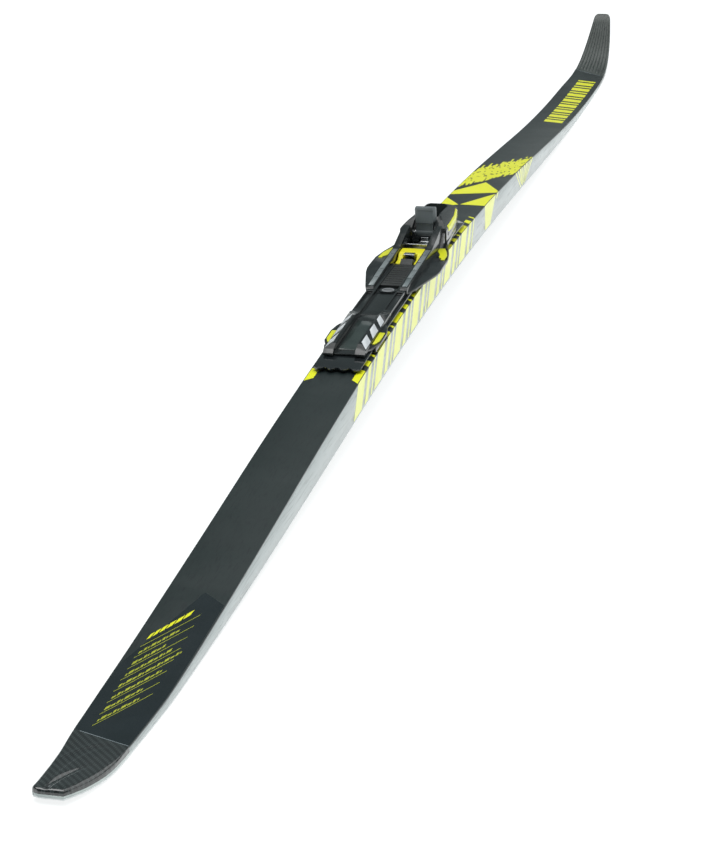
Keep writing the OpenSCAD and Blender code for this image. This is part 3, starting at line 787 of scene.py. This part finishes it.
@dataclass
class TipCap(SkiPiece):
    """The turned-up tip: a thin cap with lengthwise ribs that close in towards the end."""

    ribs: int = 9
    rib_height: float = 0.5 * MM
    crown: float = 0.5 * MM
    rim: float = 0.9 * MM
    across: int = 145
    along: int = 110

    def build(self) -> bpy.types.Object:
        """Builds the cap as one slab.

        Across the cap, ribs follow a raised cosine of u, so they fan in with the outline. They fade in ahead of
        the slanted seam and out before the rim.

        Returns:
            The piece, which replaces tip_cap.
        """
        p = self.profile
        end = p.tail + p.length
        u, v = np.meshgrid(np.linspace(-1.0, 1.0, self.across), np.linspace(0.0, 1.0, self.along))
        start = p.y(TIP_SEAM) - TIP_SLANT * u * p.edge_x(p.y(TIP_SEAM), Side.RIGHT)
        y = start + v * (end - start)
        left, right = p.edge_x(y, Side.LEFT), p.edge_x(y, Side.RIGHT)
        x = (left + right) / 2 + (right - left) / 2 * u
        wave = (0.5 + 0.5 * np.cos(np.pi * u * self.ribs)) ** 2
        window = smooth_step((y - start - 5 * MM) / (4 * MM)) * smooth_step((end - 5 * MM - y) / (10 * MM))
        side = smooth_step((1.0 - np.abs(u)) / 0.12)
        inside = np.minimum(np.minimum(x - left, right - x), end - y)
        crown = self.crown * (1.0 - u**2) * smooth_step((y - start) / (12 * MM))
        ribs = self.rib_height * wave * side
        z = p.top_z(y) - rounded_rim(inside, self.rim) + ribs * window + crown * window
        return finished("tip_cap_ribbed", self.closed(np.stack([x, y, z], -1)), self.finishes.get("tip_carbon"),
                        Body.SKI, ("tip_cap",), sharp=50.0)


@dataclass
class Prints:
    """Printed shapes on the topsheet and the sidewalls, each a very thin slab draped over its surface."""

    profile: Profile
    lift: float = 0.06 * MM
    sunk: float = 0.02 * MM
    step: float = 6.0
    wall_low: float = 1.3 * MM
    wall_gap: float = 0.25 * MM

    def _patch(self, quad: Quad) -> tuple[np.ndarray, np.ndarray]:
        """Fills a four-cornered shape with a grid, each point a blend of the corners along u and v."""
        a, b, c, d = (np.array(corner, float) for corner in quad)
        span = max(np.abs(b - a)[1], np.abs(c - d)[1], np.abs(d - a)[1], np.abs(c - b)[1])
        n = max(2, int(span / self.step) + 2)
        u, v = (g[..., None] for g in np.meshgrid(np.linspace(0, 1, n), np.linspace(0, 1, n)))
        grid = (1 - u) * (1 - v) * a + u * (1 - v) * b + u * v * c + (1 - u) * v * d
        return grid[..., 0], grid[..., 1]

    def draped(self, x: np.ndarray, s: np.ndarray, lift: float) -> Shell:
        """Drapes a grid over the top: each point keeps its (x, station) and takes the top's height."""
        y = self.profile.y(s)
        z = self.profile.top_z(y)
        return slab(np.stack([x * MM, y, z + lift], -1), np.stack([x * MM, y, z - self.sunk], -1))

    def on_top(self, quads: list[Quad], higher: float = 0.0) -> Shell:
        """Drapes shapes over the top."""
        out = Shell()
        for quad in quads:
            out.join(self.draped(*self._patch(quad), self.lift + higher))
        return out

    def on_side(self, quads: list[Quad], side: Side) -> Shell:
        """Drapes shapes over a sidewall. A corner is (share of the height, station), from 0 low to 1 high."""
        out = Shell()
        for quad in quads:
            share, s = self._patch(quad)
            y = self.profile.y(s)
            low = self.profile.bottom_z(y) + self.wall_low
            z = low + (self.profile.top_z(y) - self.wall_gap - low) * share
            x = self.profile.edge_x(y, side)
            out.join(slab(np.stack([x + side.value * self.lift, y, z], -1),
                          np.stack([x - side.value * self.lift / 2, y, z], -1)))
        return out


@dataclass
class Legend:
    """The printed legend near the tail: fine slanted rules with rows of short ticks, and a row of blocks."""

    rules: int = 8
    pitch: float = 13.6
    first: tuple[float, float] = (-11.1, 78.5)
    drift: float = -0.53
    run: tuple[float, float] = (21.9, 42.4)
    tick_counts: tuple[int, ...] = (9, 8, 11, 14, 10, 7, 9)
    heading: tuple[float, float] = (-14.0, 183.0)

    def row(self, start: tuple[float, float], widths: list[float], talls: list[float], gap: float,
            skew: float = 0.0) -> list[Quad]:
        """A row of upright parallelograms, each stepping along the rules' slope from the last one.

        Args:
            start: (x, station) of the first foot.
            widths: width of each shape across the ski.
            talls: how far each one reaches ahead.
            gap: space between two of them.
            skew: how far each one's head is shifted in x.

        Returns:
            The shapes.
        """
        slope = self.run[1] / self.run[0]
        x, s = start
        out: list[Quad] = []
        for width, tall in zip(widths, talls):
            far, rise = x + width, s + width * slope
            out.append(((x, s), (far, rise), (far + skew, rise + tall), (x + skew, s + tall)))
            x, s = far + gap, rise + gap * slope
        return out

    def fine(self) -> list[Quad]:
        """The rules, each a thin parallelogram, and the ticks of uneven width that stand above all but one."""
        out: list[Quad] = []
        for k in range(self.rules):
            x, s = self.first[0] + self.drift * k, self.first[1] + self.pitch * k
            far, rise = x + self.run[0] + 0.33 * k, s + self.run[1] + 0.25 * k
            out.append(((x, s), (far, rise), (far, rise + 0.8), (x, s + 0.8)))
        for k, count in enumerate(self.tick_counts):
            start = (self.first[0] + self.drift * k + 0.9, self.first[1] + self.pitch * k + 5.2)
            out += self.row(start, [0.75 + 0.4 * ((i * 7 + k * 3) % 4) for i in range(count)],
                            [2.6 + 1.2 * ((i * 5 + k) % 2) for i in range(count)], 0.45)
        return out

    def blocks(self) -> list[Quad]:
        """The heading: plain slanted blocks of growing width above the last rule."""
        return self.row(self.heading, [1.6 + 0.28 * i for i in range(6)], [7.2] * 6, 0.7, 0.6)


@dataclass
class SkiGraphics(SkiPiece):
    """All prints on the ski: legend and its dark panel, edge bars, front facets, hatching and tip bars."""

    edge: float = 20.9
    bars: tuple[tuple[float, float], ...] = ((0.0, 24.0), (33.0, 43.0), (52.0, 56.0))
    bar_cell: float = 63.0
    bar_lean: float = 17.0

    def __post_init__(self) -> None:
        """Makes the draping tool."""
        self.prints = Prints(self.profile)

    def lay(self, name: str, shell: Shell, finish: str = "print_yellow", slot: str = "yellow") -> None:
        """Adds one print to the ski."""
        finished(name, shell, self.finishes.get(finish), Body.SKI)

    def panel(self) -> None:
        """The darker panel behind the legend: from the seam to a slanted edge that turns back at a corner."""
        x = np.linspace(-1.0, 1.0, 41) * 20.4
        low = (self.profile.seam_y(x * MM) - self.profile.tail) / MM + 0.4
        high = np.where(x < 3.6, 150.0 + (x + 21.0) * 3.92, 246.5 - (x - 3.6) * 0.85)
        s = low[:, None] + (high - low)[:, None] * np.linspace(0.0, 1.0, 40)[None, :]
        y = self.profile.y(s)
        inset = 0.7
        inner = np.clip(x[:, None], self.profile.edge_x(y, Side.LEFT) / MM + inset,
                        self.profile.edge_x(y, Side.RIGHT) / MM - inset)
        self.lay("legend_panel_print", self.prints.draped(inner, s, 0.03 * MM), "legend_panel", "topsheet")

    def legend(self) -> None:
        """The legend's rules, ticks and blocks."""
        self.lay("legend_rules", self.prints.on_top(Legend().fine()), "print_fine")
        self.lay("legend_heading", self.prints.on_top(Legend().blocks()))

    def edge_bars(self, side: Side) -> None:
        """The long row beside the binding: plain leaning bars in threes, wide, middle and thin, over and over.

        Every bar reaches the top edge of the sidewall and goes on over the edge of the topsheet.
        """
        top: list[Quad] = []
        wall: list[Quad] = []
        inner, outer, lean = 15.0 * side.value, self.edge * side.value, self.bar_lean
        for k in range(7):
            for start, end in self.bars:
                start, end = start + 556.0 + self.bar_cell * k, end + 556.0 + self.bar_cell * k
                low, high = start + lean, end + lean
                foot = 0.04
                wall.append(((foot, start + lean * foot), (foot, end + lean * foot), (1.0, high), (1.0, low)))
                top.append(((inner, low + 6), (outer, low), (outer, high), (inner, high + 4)))
        name = side.name.lower()
        self.lay(f"{name}_edge_bars", self.prints.on_side(wall, side), "print_pale")
        self.lay(f"{name}_top_bars", self.prints.on_top(top))

    def facets(self) -> None:
        """Plain triangles and a kite ahead of the binding, two of which carry on down the sidewalls."""
        e = self.edge
        top: list[Quad] = [
            ((-e, 1046.0), (-4.5, 1055.5), (-4.5, 1056.5), (-e, 1084.0)),
            ((-2.5, 1056.5), (e, 1054.5), (e, 1106.0), (-2.5, 1057.5)),
            ((-e, 1098.0), (e, 1112.0), (e, 1120.0), (-e, 1114.0)),
            ((-e, 1114.0), (e, 1120.0), (1.5, 1158.0), (-2.0, 1150.0)),
        ]
        self.lay("front_facets", self.prints.on_top(top))
        for side in Side:
            wall: list[Quad] = [((0.04, 1054.0), (0.04, 1078.0), (1.0, 1105.5), (1.0, 1054.0)),
                                ((0.8, 1108.0), (0.8, 1112.0), (1.0, 1120.0), (1.0, 1112.0))]
            self.lay(f"{side.name.lower()}_facet_wrap", self.prints.on_side(wall, side), "print_pale")

    def hatching(self) -> None:
        """A torn band of slanted strokes across the topsheet, whose ends run out unevenly."""
        rng = np.random.default_rng(11)
        top: list[Quad] = []
        count = 30
        for k in range(count):
            x0 = -self.edge + 2 * self.edge * k / count
            x1 = min(x0 + 2 * self.edge / count + 0.25, self.edge)
            base = 1136.0 + (x0 + self.edge) * 1.7
            low = base + rng.uniform(-6, 10)
            for _ in range(3):
                long = rng.uniform(18, 42)
                high = min(low + long, base + 84.0 + rng.uniform(0, 26))
                if high - low > 4:
                    top.append(((x0, low), (x1, low + 2.5), (x1, high + 2.5), (x0, high)))
                low = high + rng.uniform(1.6, 6.0)
        self.lay("front_hatching", self.prints.on_top(top))
        for side in Side:
            wall: list[Quad] = []
            for k in range(9):
                start = 1207.0 if side is Side.RIGHT else 1136.0
                s, low = start + 11.0 * k, start + 26.0 + 3.0 * k
                foot = 0.05 + 0.07 * ((k * 5) % 3)
                wide = 4.0 + 2.0 * ((k * 7) % 3)
                wall.append(((foot, low), (foot, low + 1.8), (1.0, s + wide), (1.0, s)))
            self.lay(f"{side.name.lower()}_hatch_wrap", self.prints.on_side(wall, side), "print_pale")

    def tip_bars(self) -> None:
        """A row of plain leaning bars near the tip, thick and thin in turn."""
        top: list[Quad] = []
        left, right, lean = -7.0, 15.0, -9.0
        for k in range(8):
            s = 1526.0 + 31.0 * k
            top += [((left, a), (right, a + lean), (right, b + lean), (left, b)) for a, b in
                    ((s, s + 13.5), (s + 19.0, s + 25.0))]
        self.lay("tip_bars", self.prints.on_top(top))

    def seams(self) -> None:
        """Fine bright lines along the tail seam and the tip seam."""
        ends = [self.profile.film_ends[side][0] / MM - 0.6 * side.value for side in Side]
        rear = [(x, float(self.profile.seam_y(np.array(x * MM)) - self.profile.tail) / MM) for x in ends]
        line: Quad = (rear[0], rear[1], (rear[1][0], rear[1][1] + 0.5), (rear[0][0], rear[0][1] + 0.5))
        ahead = [TIP_SEAM - TIP_SLANT * x for x in (-17.4, 17.8)]
        front: Quad = ((-17.4, ahead[0] - 0.8), (17.8, ahead[1] - 0.8), (17.8, ahead[1] - 0.2),
                       (-17.4, ahead[0] - 0.2))
        self.lay("seam_lines", self.prints.on_top([line, front], 0.02 * MM), "seam_light", "guard")

    def build(self) -> None:
        """Builds every print."""
        self.panel()
        self.legend()
        for side in Side:
            self.edge_bars(side)
        self.facets()
        self.hatching()
        self.tip_bars()
        self.seams()


# ---------------------------------------------------------------- the binding


@dataclass
class Flexor:
    """The rubber bumper: a staple of soft round form, its two legs running down towards the toe bar."""

    finishes: Finishes
    rounding: float = 1.1 * MM
    leg_low: float = 0.36

    def __post_init__(self) -> None:
        """Reads the bumper's box from the frame."""
        self.low, self.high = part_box("flexor")

    def _bar(self, x0: float, x1: float, y0: float, y1: float, z_of: Callable, floor: float) -> Shell:
        """A rounded bar: squircle sections across y, carried along x.

        Section points follow |c|^0.4 and |s|^0.4 of an angle, which gives flat sides with round corners. Both ends
        shrink in a quarter circle.
        """
        t = np.linspace(-1.0, 1.0, 41)
        angle = np.linspace(0.0, 2 * math.pi, 40, endpoint=False)
        cy = np.sign(np.cos(angle)) * np.abs(np.cos(angle)) ** 0.4
        cz = np.sign(np.sin(angle)) * np.abs(np.sin(angle)) ** 0.4
        cap = self.rounding / ((x1 - x0) / 2)
        end = np.clip((np.abs(t) - (1 - cap)) / cap, 0.0, 1.0)
        inset = self.rounding * (1.0 - np.sqrt(np.clip(1.0 - end**2, 0.0, 1.0)))[:, None]
        x = ((x0 + x1) / 2 + (x1 - x0) / 2 * t)[:, None] + 0 * cy[None, :]
        y = (y0 + y1) / 2 + ((y1 - y0) / 2 - inset) * cy[None, :]
        top = z_of(y) - inset
        z = floor + (top - floor) * (cz[None, :] * 0.5 + 0.5)
        return swept(np.stack([x, y, z], -1))

    def build(self) -> bpy.types.Object:
        """Builds the bar and the two legs as rounded solids that run into each other.

        Returns:
            The piece, which replaces flexor.
        """
        low, high = self.low, self.high
        reach = high.y - low.y
        floor = low.z + 0.1 * MM
        waist = low.y + 0.47 * reach
        knee = low.y + 0.30 * reach

        def bar_top(y: np.ndarray) -> np.ndarray:
            """Top of the bar: full height, easing down at its front."""
            return high.z - 1.6 * MM * smooth_step((y - (high.y - 4 * MM)) / (4 * MM))

        def leg_top(y: np.ndarray) -> np.ndarray:
            """Top of a leg: low at the rear, easing up to the bar."""
            leg = low.z + (high.z - low.z) * self.leg_low
            return leg + (high.z - leg - 0.4 * MM) * smooth_step((y - knee) / (waist - knee))

        shell = self._bar(low.x, high.x, waist, high.y, bar_top, floor + 2.2 * MM)
        for side in Side:
            inner, outer = (high.x - 5.2 * MM) * side.value, (high.x - 0.4 * MM) * side.value
            left, right = sorted((inner, outer))
            shell.join(self._bar(left, right, low.y, waist + 3.5 * MM, leg_top, floor))
        return finished("flexor_bumper", shell, self.finishes.get("flexor_rubber"), Body.BINDING,
                        ("flexor",), sharp=60.0)


@dataclass
class DetentSprings:
    """Two small wound springs on the lever's pin, one each side of the lever."""

    finishes: Finishes
    turns: float = 2.6
    wire: float = 0.42 * MM
    long: float = 1.8 * MM

    def __post_init__(self) -> None:
        """Reads the springs' box from the frame."""
        self.low, self.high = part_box("detent_springs")

    def _coil(self, x0: float, x1: float, y: float, z: float, radius: float) -> Shell:
        """A wire along a helix about x: centre points at (x, cos a, sin a), with round rings across it."""
        steps = int(self.turns * 28)
        a = np.linspace(0.0, 2 * math.pi * self.turns, steps)
        wire = self.wire
        along = np.linspace(x0 + wire, x1 - wire, steps)
        centre = np.stack([along, y + radius * np.cos(a), z + radius * np.sin(a)], -1)
        out = np.stack([0 * a, np.cos(a), np.sin(a)], -1)
        side = np.tile(np.array([1.0, 0.0, 0.0]), (steps, 1))
        b = np.linspace(0.0, 2 * math.pi, 10, endpoint=False)
        ring = np.cos(b)[None, :, None] * out[:, None, :] + np.sin(b)[None, :, None] * side[:, None, :]
        return swept(centre[:, None, :] + wire * ring)

    def build(self) -> bpy.types.Object:
        """Builds both springs.

        Returns:
            The piece, which replaces detent_springs.
        """
        y, z = (self.low.y + self.high.y) / 2, (self.low.z + self.high.z) / 2
        radius = (self.high.z - self.low.z) / 2 - self.wire
        inner = self.high.x - self.long
        shell = self._coil(inner, self.high.x, y, z, radius)
        shell.join(self._coil(-self.high.x, -inner, y, z, radius))
        return finished("detent_springs_wound", shell, self.finishes.get("bare_steel"), Body.BINDING,
                        ("detent_springs",), sharp=80.0)


@dataclass
class LeverShroud:
    """The moulded shroud of the release lever: a flat face between chamfered flanks, with a step low down."""

    nodes: dict[str, bpy.types.Object]
    finishes: Finishes
    face: float = 7.4
    flank: float = 9.2
    chamfer: float = 2.2
    deep: float = 6.4
    lean: float = 2.0
    proud: float = 0.5 * MM
    tall: float = 20.5 * MM
    steps: tuple[tuple[float, float, float], ...] = (
        (0.0, 0.94, 0.9), (0.34, 0.96, 0.9), (0.37, 1.0, 0.0), (0.93, 1.0, 0.0), (1.0, 0.95, 0.9))

    def __post_init__(self) -> None:
        """Reads the blade's place from the lever's own points."""
        points = node_points(self.nodes["lever"])
        self.high = float(points[:, 2].max()) + 0.1 * MM
        self.front = float(points[points[:, 2] > self.high - 5 * MM, 1].min())
        self.low = self.high - self.tall

    def build(self) -> bpy.types.Object:
        """Builds the shroud from stacked rings.

        Each ring is a six-sided plan: a face of half-width face and flanks of half-width flank set back by the
        chamfer. Each step gives the share of the height, the share of the width and how far the ring is set
        back. The face leans ahead from its top to its foot.

        Returns:
            The piece.
        """
        share, wide, back = np.array(self.steps).T[:, :, None]
        plan = np.array([-self.face, self.face, self.flank, self.flank, -self.flank, -self.flank])
        x = plan[None, :] * wide * MM
        depth = np.array([0.0, 0.0, self.chamfer, self.deep, self.deep, self.chamfer])[None, :]
        lean = np.where(depth < self.deep, back + self.lean * (1.0 - share), 0.0)
        y = self.front - self.proud + (depth + lean) * MM
        z = self.low + (self.high - self.low) * share + 0 * x
        return finished("lever_shroud", swept(np.stack([x, y, z], -1)), self.finishes.get("lever_plastic"),
                        Body.LEVER, sharp=24.0)


@dataclass(frozen=True)
class Softened:
    """How one CAD node is dressed: its finish, its body, and the width of its rounded edges in millimetres."""

    node: str
    finish: str
    body: Body
    width: float
    segments: int = 2


@dataclass
class Hardware:
    """Every piece that keeps its CAD form, with softened edges and its finish."""

    nodes: dict[str, bpy.types.Object]
    slots: dict[str, str]
    finishes: Finishes
    parts: tuple[Softened, ...] = (
        Softened("topsheet", "topsheet_film", Body.SKI, 0.3, 3),
        Softened("left_sidewall", "sidewall_plastic", Body.SKI, 0.15),
        Softened("right_sidewall", "sidewall_plastic", Body.SKI, 0.15),
        Softened("running_base", "base_plastic", Body.SKI, 0.2),
        Softened("rail_plate", "plate_gloss", Body.SKI, 0.35, 3),
        Softened("plate_screws", "bare_steel", Body.SKI, 0.15),
        Softened("front_chassis", "chassis_plastic", Body.BINDING, 0.45, 3),
        Softened("left_rail_facing", "facing_silver", Body.BINDING, 0.12),
        Softened("right_rail_facing", "facing_silver", Body.BINDING, 0.12),
        Softened("deck_pad", "deck_plastic", Body.BINDING, 0.2),
        Softened("toe_block", "deck_plastic", Body.BINDING, 0.3, 3),
        Softened("keeper_plate", "bare_steel", Body.BINDING, 0.25),
        Softened("left_wing_insert", "insert_yellow", Body.BINDING, 0.3, 3),
        Softened("right_wing_insert", "insert_yellow", Body.BINDING, 0.3, 3),
        Softened("nose_cover", "chassis_plastic", Body.BINDING, 0.9, 4),
        Softened("nose_trim", "insert_yellow", Body.BINDING, 0.15),
        Softened("bridge_strip", "chassis_plastic", Body.BINDING, 0.4, 3),
        Softened("heel_block", "chassis_plastic", Body.BINDING, 0.4, 3),
        Softened("left_heel_insert", "insert_yellow", Body.BINDING, 0.25),
        Softened("right_heel_insert", "insert_yellow", Body.BINDING, 0.25),
        Softened("heel_marks", "mark_silver", Body.BINDING, 0.08),
        Softened("heel_label", "label_tint", Body.BINDING, 0.2),
        Softened("lever", "lever_plastic", Body.LEVER, 0.55, 3),
        Softened("claw", "bare_steel", Body.CLAW, 0.25),
        Softened("lock_cam", "lock_plastic", Body.LOCK, 0.3),
    )
    plain: tuple[tuple[str, str], ...] = (
        ("lower_laminate", "laminate_carbon"), ("upper_laminate", "laminate_carbon"), ("core", "core_wood"),
        ("tail_block", "laminate_carbon"), ("lever_pin", "bare_steel"))

    def build(self) -> None:
        """Dresses every node: most with rounded copies, and the hidden ones as they are."""
        edges = SoftEdges(self.nodes, self.slots, self.finishes)
        for part in self.parts:
            edges.build(part.node, part.finish, part.body, part.width, part.segments)
        for node, finish in self.plain:
            mesh = self.nodes[node].data
            mesh.materials.clear()
            mesh.materials.append(self.finishes.get(finish))


# ---------------------------------------------------------------- the stage


@dataclass
class Studio:
    """A pale floor, soft lights and the camera."""

    bounds: list[list[float]]
    lens: float = 100.89
    eye: tuple[float, float, float] = (0.450828, -2.012448, 0.641877)
    right: tuple[float, float, float] = (0.969159, 0.244734, -0.028907)
    up: tuple[float, float, float] = (-0.060297, 0.349229, 0.935095)
    air: float = 0.16
    sun: float = 1.45
    key: float = 30.0
    card: float = 3.6
    fill: float = 11.0
    glow: float = 0.86
    floor_reach: float = 40.0
    white: tuple[float, float, float, float] = (0.985, 1.0, 1.0, 1.0)

    def __post_init__(self) -> None:
        """Finds the corners of the object's box, which the lights are placed around."""
        self.low, self.high = Vector(self.bounds[0]), Vector(self.bounds[1])
        self.centre = (self.low + self.high) / 2

    def floor(self) -> None:
        """A large plane just under the ski."""
        mesh = bpy.data.meshes.new("floor")
        reach = self.floor_reach
        z = self.low.z - 0.2 * MM
        mesh.from_pydata([(-reach, -reach, z), (reach, -reach, z), (reach, reach, z), (-reach, reach, z)], [],
                         [(0, 1, 2, 3)])
        material = bpy.data.materials.new("floor_white")
        material.use_nodes = True
        shader = material.node_tree.nodes["Principled BSDF"]
        shader.inputs["Base Color"].default_value = (0.30, 0.31, 0.31, 1.0)
        shader.inputs["Roughness"].default_value = 0.6
        shader.inputs["Emission Color"].default_value = self.white
        shader.inputs["Emission Strength"].default_value = self.glow
        mesh.materials.append(material)
        plane = bpy.data.objects.new("floor", mesh)
        bpy.context.scene.collection.objects.link(plane)
        plane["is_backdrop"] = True

    def lamp(self, name: str, place: tuple[float, float, float], size: tuple[float, float],
             power: float) -> None:
        """An area light at a place counted from the middle of the object, which it faces."""
        data = bpy.data.lights.new(name, "AREA")
        data.shape = "RECTANGLE"
        data.size, data.size_y = size
        data.energy = power
        lamp = bpy.data.objects.new(name, data)
        lamp.location = self.centre + Vector(place)
        lamp.rotation_euler = (-Vector(place)).to_track_quat("-Z", "Y").to_euler()
        bpy.context.scene.collection.objects.link(lamp)

    def lights(self) -> None:
        """Lights the stage.

        The room is dim but looks white itself. There are a very wide sun, a soft box above, a card far ahead of
        the tip and a fill on the right.
        """
        world = bpy.data.worlds.new("studio_air")
        world.use_nodes = True
        air = world.node_tree.nodes["Background"]
        air.inputs["Color"].default_value = (0.80, 0.99, 1.0, 1.0)
        air.inputs["Strength"].default_value = self.air
        backdrop = world.node_tree.nodes.new("ShaderNodeBackground")
        backdrop.inputs["Color"].default_value = self.white
        either = world.node_tree.nodes.new("ShaderNodeMixShader")
        seen = world.node_tree.nodes.new("ShaderNodeLightPath").outputs["Is Camera Ray"]
        world.node_tree.links.new(seen, either.inputs[0])
        world.node_tree.links.new(air.outputs[0], either.inputs[1])
        world.node_tree.links.new(backdrop.outputs[0], either.inputs[2])
        world.node_tree.links.new(either.outputs[0], world.node_tree.nodes["World Output"].inputs["Surface"])
        bpy.context.scene.world = world
        sky = bpy.data.lights.new("sky_panel", "SUN")
        sky.energy = self.sun
        sky.angle = math.radians(85)
        sun = bpy.data.objects.new("sky_panel", sky)
        sun.rotation_euler = (math.radians(-12), math.radians(14), 0.0)
        bpy.context.scene.collection.objects.link(sun)
        self.lamp("key", (-0.5, -0.4, 2.4), (1.6, 2.2), self.key)
        self.lamp("card", (0.6, 4.6, 0.7), (5.0, 1.5), self.card)
        self.lamp("fill", (2.6, 0.3, 0.5), (2.4, 1.2), self.fill)

    def camera(self) -> None:
        """The camera at the viewing angle, with its lens and roll."""
        data = bpy.data.cameras.new("camera")
        data.sensor_width = 36.0
        data.lens = self.lens
        data.clip_start = 0.05
        data.clip_end = 60.0
        camera = bpy.data.objects.new("camera", data)
        right, up = Vector(self.right), Vector(self.up)
        facing = Matrix((right, up, right.cross(up))).transposed()
        camera.matrix_world = Matrix.Translation(Vector(self.eye)) @ facing.to_4x4()
        bpy.context.scene.collection.objects.link(camera)
        bpy.context.scene.camera = camera

    def build(self) -> None:
        """Sets the stage."""
        self.floor()
        self.lights()
        self.camera()
        bpy.context.scene.view_settings.view_transform = "Standard"


def corners() -> list[list[float]]:
    """Returns the whole object's box as plain lists of numbers."""
    return [[float(c) for c in corner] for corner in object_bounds()]


def main() -> None:
    """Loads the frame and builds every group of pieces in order."""
    logging.basicConfig(level=logging.INFO, format="%(name)s %(message)s")
    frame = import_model()
    cad_box = corners()
    nodes = frame["nodes"]
    slots = {part["node"]: part["material_slot"] for part in frame["record"]["subparts"]}
    finishes = Finishes()
    Studio(cad_box).build()
    profile = Profile(nodes)
    Hardware(nodes, slots, finishes).build()
    TailGuard(profile, finishes).build()
    TailRimHighlight(profile, finishes).build()
    TipCap(profile, finishes).build()
    SkiGraphics(profile, finishes).build()
    Flexor(finishes).build()
    DetentSprings(finishes).build()
    LeverShroud(nodes, finishes).build()


if __name__ == "__main__":
    main()
